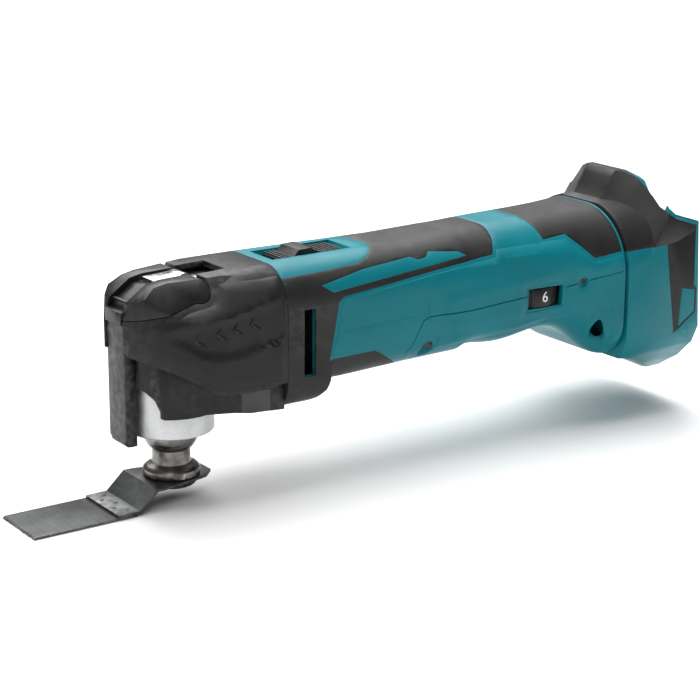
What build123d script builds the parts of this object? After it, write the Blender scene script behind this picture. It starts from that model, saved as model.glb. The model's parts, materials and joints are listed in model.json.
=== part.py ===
from build123d import *
import os

# Cordless oscillating multi-tool with a plunge saw blade, without its battery.
# Frame: millimetres. The spindle axis is x = 0, y = 0 and the blade seat is z = 0.
# The head points to -X, the battery bay to +X, +Z is up and -Y is the dial side.

# ---- driving dimensions -------------------------------------------------------
HEAD_FRONT = -28.0          # front of the head cover
HEAD_TOP = 95.0             # flat top of the head above the lever pivot
SEAM_X = 44.0               # joint between head and handle
BODY_HALF = 31.4            # half width of head and grip
BODY_TOP = 96.2             # top of the handle at the head
BODY_BASE = 29.3            # underside of the head end
GRIP_BASE = 36.0            # underside of the grip
WALL = 3.0                  # moulded wall
SKIN = 1.2                  # over-moulded rubber thickness
HANDLE_END = 241.5          # rear rim of the handle
BAY_FRONT = 243.5           # front wall of the battery housing
BAY_FACE = 266.0            # face that the battery lies against
BAY_END = 293.7             # rear edge of the battery housing
BAY_HALF = 40.0             # half width over the battery housing

MOTOR_Z = 66.0              # height of the motor axis
SHAFT_R = 2.5               # motor shaft radius
ECCENTRIC = 0.8             # throw of the motor's eccentric
SPINDLE_R = 8.0             # spindle in its bearings
BORE_R = 4.0                # spindle bore for the clamp shaft
COLLAR_R = 20.2             # visible aluminium collar
COLLAR_Z = 22.3             # underside of the collar
PIVOT_X = 4.0               # clamp lever pivot
PIVOT_Z = 90.6
PIVOT_R = 1.6               # lever pin radius
LEVER_END_R = 4.9           # round rear end of the lever
RUN = 0.06                  # running clearance of pins and shafts
GAP = 0.4                   # clearance between moving and fixed bodies

BLADE_W = 32.0              # blade width
BLADE_TIP = -78.4           # tips of the saw teeth
PLATE_T = 1.2               # blade mount plate
BLADE_T = 0.9               # toothed plate
DROP = 8.3                  # offset of the blade below its seat
BEND_HIGH = -16.5           # upper and lower bend of the mount plate
BEND_LOW = -25.6
STEP_X = -36.3              # front edge of the mount plate
TOOTH_PITCH = 2.0
TOOTH_DEPTH = 1.7

DIAL_X = 194.5              # speed dial centre, a wheel with a vertical axis
DIAL_Y = -16.6
DIAL_R = 16.0
DIAL_LOW = 57.4
DIAL_HIGH = 66.8
DIAL_POST_R = 2.0           # post that the dial turns on
DIAL_RIBS = 30              # grip notches, left out over the flat pad that carries the number
DIAL_PAD = 36               # angle of the pad

# stations along the handle: x, half width, bottom, top, top radius, bottom radius
GRIP_STATIONS = [                        # the nearly straight grip
    (SEAM_X, BODY_HALF, GRIP_BASE, BODY_TOP, 18, 22),
    (82, 31.3, 35.7, 96.2, 20, 22),
    (120, 31.3, 36.2, 96.3, 22, 24),
    (150, 31.5, 36.8, 97.4, 24, 24),
]
FLARE_STATIONS = GRIP_STATIONS[-1:] + [  # the rear, which widens and drops to the battery housing
    (172, 31.9, 37.8, 98.1, 25, 23.5),
    (190, 32.6, 39.6, 98.6, 26, 23),
    (206, 34.0, 41.4, 99.0, 28, 22),
    (216, 35.2, 38.6, 99.2, 29, 22),
    (227, 37.0, 31.0, 99.7, 31, 21),
    (HANDLE_END, 39.3, 23.2, 100.4, 32, 20),
]

os.makedirs("parts", exist_ok=True)


def finish(part, label):
    """Name a finished piece and write its STEP file."""
    part.label = label
    export_step(part, "parts/" + label + ".step")


def cross_plane(x):
    """Plane across the tool at x: local x is +Y, local y is +Z."""
    return Plane(origin=(x, 0, 0), x_dir=(0, 1, 0), z_dir=(1, 0, 0))


def side_plane(y=0):
    """Plane along the tool at y: local x is +X, local y is +Z, facing -Y."""
    return Plane(origin=(0, y, 0), x_dir=(1, 0, 0), z_dir=(0, -1, 0))


def side_prism(points, half):
    """Solid made from a side-view outline, reaching as far as half to either side."""
    with BuildPart() as prism:
        with BuildSketch(side_plane()):
            with BuildLine():
                Polyline(*points, close=True)
            make_face()
        extrude(amount=half, both=True)
    return prism.part


def plan_prism(points, low, high):
    """Solid made from one side of a plan outline, mirrored about y = 0."""
    with BuildPart() as prism:
        with BuildSketch(Plane.XY.offset(low)):
            with BuildLine():
                Polyline(*points, close=True)
            make_face()
            mirror(about=Plane.XZ)
        extrude(amount=high - low)
    return prism.part


def rounded_section(x, half, low, high, r_top, r_low):
    """Rounded rectangle across the tool, with its own radii above and below."""
    with BuildSketch(cross_plane(x)) as section:
        with Locations((0, (low + high) / 2)):
            Rectangle(2 * half, high - low)
        fillet(section.vertices().group_by(Axis.Y)[-1], r_top)
        fillet(section.vertices().group_by(Axis.Y)[0], r_low)
    return section.sketch


def ring(z_low, z_high, r_out, r_in=0.0, x=0.0, y=0.0):
    """Ring or disc about a vertical axis."""
    with BuildPart() as made:
        with BuildSketch(Plane.XY.offset(z_low)):
            with Locations((x, y)):
                Circle(r_out)
                if r_in:
                    Circle(r_in, mode=Mode.SUBTRACT)
        extrude(amount=z_high - z_low)
    return made.part


def cross_ring(x_low, x_high, r_out, r_in=0.0, z=MOTOR_Z, y=0.0):
    """Ring or disc about an axis along the tool."""
    with BuildPart() as made:
        with BuildSketch(cross_plane(x_low)):
            with Locations((y, z)):
                Circle(r_out)
                if r_in:
                    Circle(r_in, mode=Mode.SUBTRACT)
        extrude(amount=x_high - x_low)
    return made.part


def block(x_low, x_high, y_low, y_high, z_low, z_high):
    """Plain block between two corners."""
    centre = ((x_low + x_high) / 2, (y_low + y_high) / 2, (z_low + z_high) / 2)
    return Pos(*centre) * Box(x_high - x_low, y_high - y_low, z_high - z_low, mode=Mode.PRIVATE)


# ---- handle body, as nested forms ---------------------------------------------
def front_block(inset):
    """The deeper end of the handle, behind the head."""
    outline = [(SEAM_X, BODY_BASE + inset), (57 - inset / 2, 29.8 + inset), (63 - inset, 31.8 + inset),
               (66.4 - inset, 36 + inset / 2), (67.8 - inset, 42), (67.8 - inset, 60), (SEAM_X, 60)]
    end = rounded_section(SEAM_X, BODY_HALF - inset, BODY_BASE + inset, BODY_TOP - inset,
                          18 - inset, 14 - inset)
    with BuildPart() as tube:
        extrude(end, amount=45)
        add(side_prism(outline, BODY_HALF - inset - 0.2), mode=Mode.INTERSECT)
    return tube.part


def handle_form(inset):
    """Solid form of the handle, taken in by the given amount."""
    low_end = front_block(inset)
    grip_part, flare_part = [
        [rounded_section(x, half - inset, low + inset, high - inset, r_top - inset, r_low - inset)
         for x, half, low, high, r_top, r_low in stations]
        for stations in (GRIP_STATIONS, FLARE_STATIONS)]
    with BuildPart() as form:
        loft(grip_part, ruled=True)
        loft(flare_part)
        add(low_end)
    return form.part


handle_outer = handle_form(0)
handle_core = handle_form(SKIN)
handle_cavity = handle_form(WALL)

# side-view outlines of the rubber areas and of the lower housing
GRIP_OUTLINE = [(SEAM_X, 20), (SEAM_X, 105), (171, 105), (170.5, 98), (168, 92.5), (164.5, 86.8),
                (129, 84.2), (75, 79.6), (72, 77.5), (66.8, 50.5), (68.3, 41.9), (70, 30), (70, 20)]
UNDER_OUTLINE = [(66.8, 50.5), (93.3, 50.8), (98.4, 47.9), (111.3, 39.7), (114, 30), (70, 30),
                 (68.3, 41.9)]
REAR_OUTLINE = [(193, 110), (194.5, 99), (196, 95.5), (197.3, 89.7), (211.2, 90.8), (224.3, 78.4),
                (240.5, 80.2), (240.5, 110)]
INLAY_OUTLINE = [(63.5, 86.1), (69.3, 82.3), (149.3, 88.2), (145.4, 90.4), (129, 92.1),
                 (126, 90.2), (121.4, 89.6), (117.7, 91.3), (88.5, 89.7)]
LOWER_OUTLINE = [(124, 62.4), (148, 62.4), (182, 64.3), (207, 66.6), (245, 71), (245, 10),
                 (121, 10), (120, 37), (117.7, 50), (120.5, 60.5)]
TOP_PANEL = [(40, 0), (40, 26), (71, 24.5), (88, 23), (94, 20.8), (98.5, 17.2),
             (101.8, 12.4), (103.8, 6.4), (104.4, 0)]

BOSSES = [(126, 25), (126, -25), (229, 33), (229, -33)]     # clamshell screws
BOSS_R = 5.0
SCREW_R = 1.9
SCREW_HEAD_R = 3.4
SCREW_SEAT = 49.5

VENT = (52.8, 59.0, 44.8, 76.6)           # x and z of the air outlets
SLOT = (49.5, 93.5, 9.8)                  # switch recess: x range and half width
SLOT_FLOOR = 93.1

with BuildPart() as grip_layer:
    add(handle_outer)
    add(handle_core, mode=Mode.SUBTRACT)

top_panel = plan_prism(TOP_PANEL, 84, 110)
inlay = side_prism(INLAY_OUTLINE, 50)
vents = block(VENT[0], VENT[1], -50, 50, VENT[2], VENT[3])

# the front grip wraps round the end of the handle at the head
with BuildPart() as front_lip:
    add(handle_outer)
    add(handle_cavity, mode=Mode.SUBTRACT)
    add(block(SEAM_X, SEAM_X + 1, -40, 40, 20, 84), mode=Mode.INTERSECT)

with BuildPart() as front_grip:
    add(grip_layer.part)
    add(side_prism(GRIP_OUTLINE, 50), mode=Mode.INTERSECT)
    add(top_panel, mode=Mode.SUBTRACT)
    add(inlay, mode=Mode.SUBTRACT)
    add(front_lip.part)
    add(vents, mode=Mode.SUBTRACT)
finish(front_grip.part, "front_grip")

with BuildPart() as under_grip:
    add(grip_layer.part)
    add(side_prism(UNDER_OUTLINE, 50), mode=Mode.INTERSECT)
finish(under_grip.part, "under_grip")

with BuildPart() as rear_grip:
    add(grip_layer.part)
    add(side_prism(REAR_OUTLINE, 50), mode=Mode.INTERSECT)
finish(rear_grip.part, "rear_grip")

lower_region = side_prism(LOWER_OUTLINE, 50)
dial_window = block(DIAL_X - 10.4, DIAL_X + 10.4, -45, -24, DIAL_LOW - 0.6, DIAL_HIGH + 0.6)
switch_recess = block(SLOT[0], SLOT[1], -SLOT[2], SLOT[2], SLOT_FLOOR, 105)
switch_hole = block(56, 86, -5.4, 5.4, 85, 105)

with BuildPart() as boss_columns:
    with BuildSketch(Plane.XY.offset(SCREW_SEAT - 2)):
        with Locations(*BOSSES):
            Circle(BOSS_R)
    extrude(amount=31)
    add(handle_outer, mode=Mode.INTERSECT)

with BuildPart() as screw_holes:
    with BuildSketch(Plane.XY.offset(SCREW_SEAT)):
        with Locations(*BOSSES):
            Circle(SCREW_R)
    extrude(amount=25)
    with BuildSketch(Plane.XY.offset(SCREW_SEAT)):
        with Locations(*BOSSES):
            Circle(SCREW_HEAD_R + 0.4)
    extrude(amount=-45)

# end pins of a cross rod, each in a shallow dish of the handle's side
PIN_X = 217.0
PIN_Z = 67.4
PIN_R = 1.6
PIN_END = 34.6
REAR_WALL_X = 237.0


def side_discs(y_low, y_high, radius):
    """Two discs about the pin axis, one on each side."""
    with BuildPart() as discs:
        for side in (-1, 1):
            with BuildSketch(Plane(origin=(PIN_X, side * y_low, PIN_Z), z_dir=(0, side, 0))):
                Circle(radius)
            extrude(amount=y_high - y_low)
    return discs.part


side_pins = side_discs(31, PIN_END, PIN_R)
finish(side_pins, "side_pins")

# rear wall that the battery housing hangs on
with BuildPart() as rear_wall:
    add(handle_cavity)
    add(block(REAR_WALL_X, HANDLE_END, -50, 50, 0, 120), mode=Mode.INTERSECT)

with BuildPart() as housing_shell:
    add(handle_outer)
    add(handle_cavity, mode=Mode.SUBTRACT)
    add(rear_wall.part)
    add(boss_columns.part)
    add(screw_holes.part, mode=Mode.SUBTRACT)
    add(vents, mode=Mode.SUBTRACT)
    add(dial_window, mode=Mode.SUBTRACT)
    add(cross_ring(230, 250, 9), mode=Mode.SUBTRACT)
    add(side_pins, mode=Mode.SUBTRACT)
    add(side_discs(PIN_END, 45, PIN_R + 0.9), mode=Mode.SUBTRACT)

with BuildPart() as lower_housing:
    add(housing_shell.part)
    add(lower_region, mode=Mode.INTERSECT)
finish(lower_housing.part, "lower_housing")

with BuildPart() as upper_housing:
    add(housing_shell.part)
    add(lower_region, mode=Mode.SUBTRACT)
    for grip in (front_grip, under_grip, rear_grip):
        add(grip.part, mode=Mode.SUBTRACT)
    add(block(SEAM_X, SLOT[1] + 4, -14, 14, SLOT_FLOOR - 2.4, SLOT_FLOOR + 1))
    add(switch_recess, mode=Mode.SUBTRACT)
    add(switch_hole, mode=Mode.SUBTRACT)
finish(upper_housing.part, "upper_housing")

with BuildPart() as housing_screws:
    with BuildSketch(Plane.XY.offset(SCREW_SEAT)):
        with Locations(*BOSSES):
            Circle(SCREW_R)
    extrude(amount=22)
    with BuildSketch(Plane.XY.offset(SCREW_SEAT - 3)):
        with Locations(*BOSSES):
            Circle(SCREW_HEAD_R)
            RegularPolygon(1.6, 6, mode=Mode.SUBTRACT)
    extrude(amount=2)
    with BuildSketch(Plane.XY.offset(SCREW_SEAT - 1)):
        with Locations(*BOSSES):
            Circle(SCREW_HEAD_R)
    extrude(amount=1)
finish(housing_screws.part, "housing_screws")

# ---- head ---------------------------------------------------------------------
CHEEK = (-12.5, 14.5, 94.3)              # point on the sloped cheek planes, and their normal
CHEEK_SLOPE = (-0.144, 0.788, 0.599)


def head_form(inset):
    """Solid form of the head: a rounded bar with a round nose, sloped cheeks and a sloped brow."""
    brow = [(SEAM_X - 0.3, BODY_TOP - inset), (9, HEAD_TOP - inset), (-9, HEAD_TOP - 0.5 - inset),
            (-15.5 + inset, 93.2 - inset), (-25.8 + inset, 86), (HEAD_FRONT + inset, 77),
            (HEAD_FRONT + inset, 20), (SEAM_X - 0.3, 20)]
    with BuildPart() as nose:
        with BuildSketch(Plane.XY.offset(15)):
            with BuildLine():
                front = Line((HEAD_FRONT + inset, 0), (HEAD_FRONT + inset, 8.8 - inset / 2))
                cheek = ThreePointArc(front @ 1, (-11.4 + inset * 0.7, 24 - inset * 0.7),
                                      (12, BODY_HALF - 0.4 - inset))
                flank = Line(cheek @ 1, (SEAM_X - 0.3, BODY_HALF - inset))
                Polyline(flank @ 1, (SEAM_X - 0.3, 0), front @ 0)
            make_face()
            mirror(about=Plane.XZ)
        extrude(amount=90)
    bar = rounded_section(-40, BODY_HALF - inset, 20 + inset, BODY_TOP - inset, 18 - inset, 14 - inset)
    with BuildPart() as form:
        extrude(bar, amount=40 + SEAM_X - 0.3)
        add(nose.part, mode=Mode.INTERSECT)
        add(side_prism(brow, 40), mode=Mode.INTERSECT)
        for side in (-1, 1):
            normal = Vector(CHEEK_SLOPE[0], side * CHEEK_SLOPE[1], CHEEK_SLOPE[2])
            face = Plane(origin=Vector(CHEEK[0], side * CHEEK[1], CHEEK[2]) - normal * inset, z_dir=normal)
            add(face * Box(120, 120, 40, align=(Align.CENTER, Align.CENTER, Align.MIN),
                           mode=Mode.PRIVATE), mode=Mode.SUBTRACT)
    return form.part


# side-view outline of the room that the clamp lever takes from the head
def lever_room(grow, rear=0.01):
    """Wedge over the head's brow, round about the lever pivot, open above up to rear."""
    outline = [(-45, 77.4 - grow), (-24, 79.3 - grow), (-12, 82.2 - grow), (0, 85.8 - grow),
               (PIVOT_X, PIVOT_Z - LEVER_END_R - grow), (PIVOT_X, 110), (-45, 110)]
    with BuildPart() as room:
        add(side_prism(outline, 40))
        with BuildSketch(side_plane()):
            with Locations((PIVOT_X, PIVOT_Z)):
                Circle(LEVER_END_R + grow)
        extrude(amount=40, both=True)
        add(block(PIVOT_X - 3, PIVOT_X + rear, -40, 40, PIVOT_Z, 110))
    return room.part


COVER_EDGE = [(-45, 63), (-28, 63), (-10, 55), (4, 46.5), (8.5, 43.6), (24, 42.6),
              (SEAM_X, 44), (SEAM_X, 120), (-45, 120)]
CHANNEL_HALF = 8.5          # half width of the lever's channel down the nose
CHANNEL_REAR = -20.4
COVER_WALL = 2.5            # moulded wall of the head cover
LEVER_OPEN = LEVER_END_R + GAP
LUG = (5.55, 6.85)          # the two lugs that carry the lever pin, beside the cam
LUG_R = 3.2

head_outer = head_form(0)
head_inner = head_form(COVER_WALL)

with BuildPart() as head_hollow:
    add(head_inner)
    add(lever_room(GAP + 2.2, LEVER_OPEN + 2.2), mode=Mode.SUBTRACT)

with BuildPart() as head_cover:
    add(head_outer)
    add(head_hollow.part, mode=Mode.SUBTRACT)
    add(side_prism(COVER_EDGE, 40), mode=Mode.INTERSECT)
    add(lever_room(GAP, LEVER_OPEN), mode=Mode.SUBTRACT)
    add(block(-45, CHANNEL_REAR, -CHANNEL_HALF, CHANNEL_HALF, 10, 100), mode=Mode.SUBTRACT)
    add(block(-9, 13, -7.4, 7.4, 78, 110), mode=Mode.SUBTRACT)
    add(side_prism([(9, 88.5), (24, 93), (25, 110), (9, 110)], 9.5), mode=Mode.SUBTRACT)
    for side in (-1, 1):
        lug_low, lug_high = sorted((side * LUG[0], side * LUG[1]))
        foot_low, foot_high = sorted((side * LUG[0], side * 8.5))
        with BuildSketch(side_plane(lug_high)):
            with Locations((PIVOT_X, PIVOT_Z)):
                Circle(LUG_R)
            with Locations((PIVOT_X, PIVOT_Z - 4)):
                Rectangle(2 * LUG_R, 8)
        extrude(amount=lug_high - lug_low)
        add(block(PIVOT_X - LUG_R, PIVOT_X + LUG_R, foot_low, foot_high, 80.5, 85.2))
    with BuildSketch(side_plane()):
        with Locations((PIVOT_X, PIVOT_Z)):
            Circle(PIVOT_R)
    extrude(amount=LUG[1] + 1, both=True, mode=Mode.SUBTRACT)
finish(head_cover.part, "head_cover")

# lower nose cover around the collar and under the gearbox
NOSE_R = 23.2


def nose_form(inset):
    """Cup around the collar that widens to the handle's width."""
    floor = [(-40, 33 + inset), (18, 33 + inset), (26, 31.4 + inset), (SEAM_X - 0.3, 30.6 + inset),
             (SEAM_X - 0.3, 60), (-40, 60)]
    with BuildPart() as cup:
        with BuildSketch(Plane.XY.offset(20)):
            with BuildLine():
                nose_arc = ThreePointArc((-NOSE_R + inset, 0), (0, NOSE_R - inset),
                                         (6, NOSE_R - 0.7 - inset))
                flank = Polyline(nose_arc @ 1, (18, 27.2 - inset), (SEAM_X - 0.3, 28.3 - inset))
                Polyline(flank @ 1, (SEAM_X - 0.3, 0), nose_arc @ 0)
            make_face()
            mirror(about=Plane.XZ)
        extrude(amount=45)
        add(side_prism(floor, 40), mode=Mode.INTERSECT)
    return cup.part


with BuildPart() as nose_shell:
    add(nose_form(0))
    add(nose_form(2.4), mode=Mode.SUBTRACT)
    add(ring(20, 62, COLLAR_R + 0.4), mode=Mode.SUBTRACT)

lens_region = block(21.4, 36.5, -40, 40, 20, 41.8)
front_notch = side_prism([(-40, 20), (-13.5, 20), (-13.8, 36), (-15.5, 41), (-18.5, 44.8), (-22, 47),
                          (-40, 47.5)], 40)

with BuildPart() as nose_cover:
    add(nose_shell.part)
    add(lens_region, mode=Mode.SUBTRACT)
    add(front_notch, mode=Mode.SUBTRACT)
    add(block(-45, CHANNEL_REAR, -CHANNEL_HALF, CHANNEL_HALF, 10, 100), mode=Mode.SUBTRACT)
finish(nose_cover.part, "nose_cover")

with BuildPart() as led_lens:
    add(nose_form(0))
    add(nose_form(2.4), mode=Mode.SUBTRACT)
    add(lens_region, mode=Mode.INTERSECT)
finish(led_lens.part, "led_lens")

LED_Z = 35.6                # underside of the lamp board
with BuildPart() as led_board:
    add(block(26, 35.5, -7, 7, LED_Z, LED_Z + 1.4))
    with BuildSketch(Plane.XY.offset(LED_Z)):
        with GridLocations(0, 7, 1, 2):
            with Locations((30.75, 0)):
                Circle(1.6)
    extrude(amount=-1.4)
finish(led_board.part, "led_board")

# ---- gearbox ------------------------------------------------------------------
BARREL_FRONT = 16.5
BARREL_HALF = 23.8
BARREL_LOW = 43.5
BARREL_HIGH = 89.5
GEAR_SCREWS = [(y, z) for y in (-21, 21) for z in (46.5, 86.5)]

with BuildPart() as barrel:
    add(head_form(COVER_WALL + 0.3))
    add(block(BARREL_FRONT, SEAM_X, -BARREL_HALF, BARREL_HALF, BARREL_LOW, BARREL_HIGH),
        mode=Mode.INTERSECT)

with BuildPart() as gear_housing:
    with BuildSketch(Plane.XY.offset(COLLAR_Z)):
        Circle(COLLAR_R)
    extrude(amount=46 - COLLAR_Z)
    fillet(gear_housing.edges().group_by(Axis.Z)[0], 0.8)
    with BuildSketch(Plane.XY.offset(46)):
        Circle(18)
    extrude(amount=29)
    add(block(0, 18, -18, 18, 46, 75))
    add(barrel.part)
    # cavity for the fork and the eccentric
    add(ring(38, 64, 15.5), mode=Mode.SUBTRACT)
    add(block(0, 20, -17, 17, 47, 64), mode=Mode.SUBTRACT)
    add(block(18.2, SEAM_X + 1, -18, 18, 47, 85), mode=Mode.SUBTRACT)
    # bearing seats, seal seat and the way for the spindle
    with BuildSketch(Plane.XY.offset(28)):
        Circle(15)
    extrude(amount=11, mode=Mode.SUBTRACT)
    with BuildSketch(Plane.XY.offset(COLLAR_Z - 1)):
        Circle(12.9)
    extrude(amount=8, mode=Mode.SUBTRACT)
    with BuildSketch(Plane.XY.offset(63)):
        Circle(12)
    extrude(amount=9, mode=Mode.SUBTRACT)
    with BuildSketch(Plane.XY.offset(70)):
        Circle(9)
    extrude(amount=8, mode=Mode.SUBTRACT)
    for y, z in GEAR_SCREWS:
        add(cross_ring(30, 50, 1.6, z=z, y=y), mode=Mode.SUBTRACT)
finish(gear_housing.part, "gear_housing")

finish(ring(28, 38, 15, SPINDLE_R), "lower_bearing")
finish(ring(64.2, 72, 12, SPINDLE_R), "upper_bearing")

with BuildPart() as dust_seal:
    with BuildSketch(Plane.XY.offset(24)):
        Circle(12.9)
        Circle(SPINDLE_R + 0.3, mode=Mode.SUBTRACT)
    extrude(amount=4)
finish(dust_seal.part, "dust_seal")

with BuildPart() as motor_bracket:
    add(cross_ring(SEAM_X + 0.6, 49, 24.2, 8))
    add(block(SEAM_X + 0.6, 49, -24, 24, 43, 87.6))
    add(cross_ring(SEAM_X, 50, 8), mode=Mode.SUBTRACT)
    for y, z in GEAR_SCREWS:
        add(cross_ring(SEAM_X, 50, 1.6, z=z, y=y), mode=Mode.SUBTRACT)
finish(motor_bracket.part, "motor_bracket")

with BuildPart() as gear_screws:
    for y, z in GEAR_SCREWS:
        add(cross_ring(32, 49, 1.6, z=z, y=y))
        add(cross_ring(49, 51.4, 2.9, z=z, y=y))
finish(gear_screws.part, "gear_housing_screws")

# ---- spindle, fork and clamp ----------------------------------------------------
with BuildPart() as spindle:
    with BuildSketch(Plane.XZ):
        with BuildLine():
            Polyline((BORE_R, 0.2), (12.6, 0.2), (13.2, 0.8), (13.2, 3.6), (11.6, 5.0), (10.4, 5.4),
                     (8.8, 6.2), (8.8, 12.8), (10.6, 14.4), (12.2, 17.4), (12.2, 21.6),
                     (SPINDLE_R, 21.8), (SPINDLE_R, 75), (5.5, 75), (5.5, 56), (BORE_R, 56),
                     (BORE_R, 0.2))
        make_face()
    revolve(axis=Axis.Z)
    # small drive notches round the lower edge of the flange
    with BuildSketch(Plane.XY.offset(0.2)):
        with PolarLocations(13.2, 12):
            Circle(0.7)
    extrude(amount=1.2, mode=Mode.SUBTRACT)
finish(spindle.part, "spindle")

with BuildPart() as swing_fork:
    with BuildSketch(Plane.XY.offset(50)):
        Circle(13)
        Circle(SPINDLE_R, mode=Mode.SUBTRACT)
    extrude(amount=12)
    add(block(9, 22, -9, 9, 50, 60))
    add(block(19.5, 23, -14.4, 14.4, 50, 62))
    for side in (-1, 1):
        y_low, y_high = sorted((side * 10.4, side * 14.4))
        add(block(19.5, 37, y_low, y_high, 50, 75))
finish(swing_fork.part, "swing_fork")

CAM_R = 4.4
CAM_E = 1.6                              # offset of the cam towards the rear, at rest
SHAFT_TOP = PIVOT_Z - CAM_R - 0.7        # clear of the cam at every lever angle
with BuildPart() as clamp_shaft:
    with BuildSketch(Plane.XZ):
        with BuildLine():
            Polyline((0, 31), (3.0, 31), (BORE_R - RUN, 33), (BORE_R - RUN, 46), (3.3, 47),
                     (3.3, 76.4), (5.2, 76.4), (5.2, SHAFT_TOP - 0.6), (4.6, SHAFT_TOP),
                     (0, SHAFT_TOP), (0, 31))
        make_face()
    revolve(axis=Axis.Z)
finish(clamp_shaft.part, "clamp_shaft")

SPRING_LOW = 56.6
SPRING_HIGH = 75.8
with BuildPart() as clamp_spring:
    with BuildLine() as coil:
        Helix(pitch=(SPRING_HIGH - SPRING_LOW) / 6, height=SPRING_HIGH - SPRING_LOW, radius=4.4,
              center=(0, 0, SPRING_LOW))
    with BuildSketch(Plane(coil.line @ 0, z_dir=coil.line % 0)):
        Circle(0.5)
    sweep()
finish(clamp_spring.part, "clamp_spring")

# ---- blade and its holder bolt ------------------------------------------------------
BOLT_HEAD = 3.0
with BuildPart() as holder_bolt:
    with BuildSketch(Plane.XY.offset(-PLATE_T)):
        Circle(11.4)
    extrude(amount=-BOLT_HEAD)
    chamfer(holder_bolt.edges().group_by(Axis.Z)[0], 0.7)
    # grip serrations round the head
    with BuildSketch(Plane.XY.offset(-PLATE_T)):
        with PolarLocations(11.6, 24):
            Circle(0.45)
    extrude(amount=-BOLT_HEAD, mode=Mode.SUBTRACT)
    with BuildSketch(Plane.XY.offset(-PLATE_T)):
        Circle(BORE_R - RUN)
    extrude(amount=PLATE_T + 30)
    # hexagon recess under the head
    with BuildSketch(Plane.XY.offset(-PLATE_T - BOLT_HEAD)):
        RegularPolygon(2.6, 6)
    extrude(amount=1.8, mode=Mode.SUBTRACT)
finish(holder_bolt.part, "holder_bolt")

MOUNT_PLAN = [(STEP_X, 0), (STEP_X, BLADE_W / 2), (-13, BLADE_W / 2), (3, 13.2), (12, 11), (17.6, 5.5),
              (17.6, 0)]
with BuildPart() as blade_mount:
    with BuildSketch(side_plane()):
        with BuildLine():
            Polyline((17.6, 0), (BEND_HIGH, 0), (BEND_LOW, -DROP), (STEP_X, -DROP),
                     (STEP_X, -DROP - PLATE_T), (BEND_LOW + 0.4, -DROP - PLATE_T),
                     (BEND_HIGH + 0.4, -PLATE_T), (17.6, -PLATE_T), close=True)
        make_face()
    extrude(amount=BLADE_W / 2, both=True)
    add(plan_prism(MOUNT_PLAN, -DROP - PLATE_T, 0), mode=Mode.INTERSECT)
    with BuildSketch(Plane.XY.offset(-PLATE_T)):
        Circle(BORE_R)
    extrude(amount=PLATE_T, mode=Mode.SUBTRACT)
finish(blade_mount.part, "blade_mount")

blade_top = -DROP - PLATE_T
with BuildPart() as blade_plate:
    with BuildSketch(Plane.XY.offset(blade_top)):
        with BuildLine():
            teeth = []
            count = int(BLADE_W / TOOTH_PITCH)
            for i in range(count):
                y = -BLADE_W / 2 + i * TOOTH_PITCH
                teeth += [(BLADE_TIP + TOOTH_DEPTH, y), (BLADE_TIP, y + 0.3 * TOOTH_PITCH)]
            Polyline(*teeth, (BLADE_TIP + TOOTH_DEPTH, BLADE_W / 2), (BEND_LOW - 1.4, BLADE_W / 2),
                     (BEND_LOW - 1.4, -BLADE_W / 2), close=True)
        make_face()
    extrude(amount=-BLADE_T)
finish(blade_plate.part, "blade_plate")

SPOTS = [(-29.5, -11), (-29.5, 0), (-29.5, 11), (-33.4, -6), (-33.4, 6)]
with BuildPart() as blade_rivets:
    with BuildSketch(Plane.XY.offset(-DROP)):
        with Locations(*SPOTS):
            Circle(1.0)
    extrude(amount=0.25)
finish(blade_rivets.part, "blade_rivets")

# ---- clamp lever ---------------------------------------------------------------------
TONGUE_HALF = 7.8
TIP_Z = 19.0
PIN_REACH = 18.0                         # half length of the lever pin
lever_head = lever_room(0)

with BuildPart() as clamp_lever:
    add(head_outer)
    add(lever_head, mode=Mode.INTERSECT)
    # narrow grooves beside the tongue, whose top lies a little lower than the cheeks
    add(block(-40, 12, -7.2, 7.2, 70, 110), mode=Mode.SUBTRACT)
    add(block(-28.2, -21.2, -7.2, 7.2, 76, 82))
    with BuildSketch(side_plane()) as tongue:
        with BuildLine():
            Polyline((-27, 20.5), (-25.6, TIP_Z), (-22.6, TIP_Z), (-20.9, 20.6), (-20.9, 23.4),
                     (-21.6, 24.6), (-21.6, 80), (-12, 82.3), (-10, 83), (-10, 91.8), (-14.5, 91.2),
                     (-24.0, 84.6), (-27, 77), close=True)
        make_face()
        fillet(tongue.vertices().sort_by(Axis.X)[:1], 3)
    extrude(amount=6.4, both=True)
    add(side_prism([(-27, 22), (-25.2, TIP_Z + 0.4), (-21.6, TIP_Z + 0.4), (-21.6, 75), (-27, 75)],
                   TONGUE_HALF))
    add(block(-24, -14, -9, 9, 81.8, 86))
    with BuildSketch(side_plane()):
        with Locations((PIVOT_X, PIVOT_Z)):
            Circle(PIVOT_R + RUN)
    extrude(amount=PIN_REACH + GAP, both=True, mode=Mode.SUBTRACT)
finish(clamp_lever.part, "clamp_lever")

CAM_HALF = 5.2
with BuildPart() as lever_cam:
    with BuildSketch(side_plane()):
        with Locations((PIVOT_X + CAM_E, PIVOT_Z)):
            Circle(CAM_R)
        with BuildLine():
            Polyline((PIVOT_X, 94.4), (-10, 93.6), (-10, 88.6), (PIVOT_X, 89.6), close=True)
        make_face()
        with Locations((PIVOT_X, PIVOT_Z)):
            Circle(PIVOT_R + RUN, mode=Mode.SUBTRACT)
    extrude(amount=CAM_HALF, both=True)
finish(lever_cam.part, "lever_cam")

with BuildPart() as lever_pin:
    with BuildSketch(side_plane()):
        with Locations((PIVOT_X, PIVOT_Z)):
            Circle(PIVOT_R)
    extrude(amount=PIN_REACH, both=True)
finish(lever_pin.part, "lever_pin")

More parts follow.
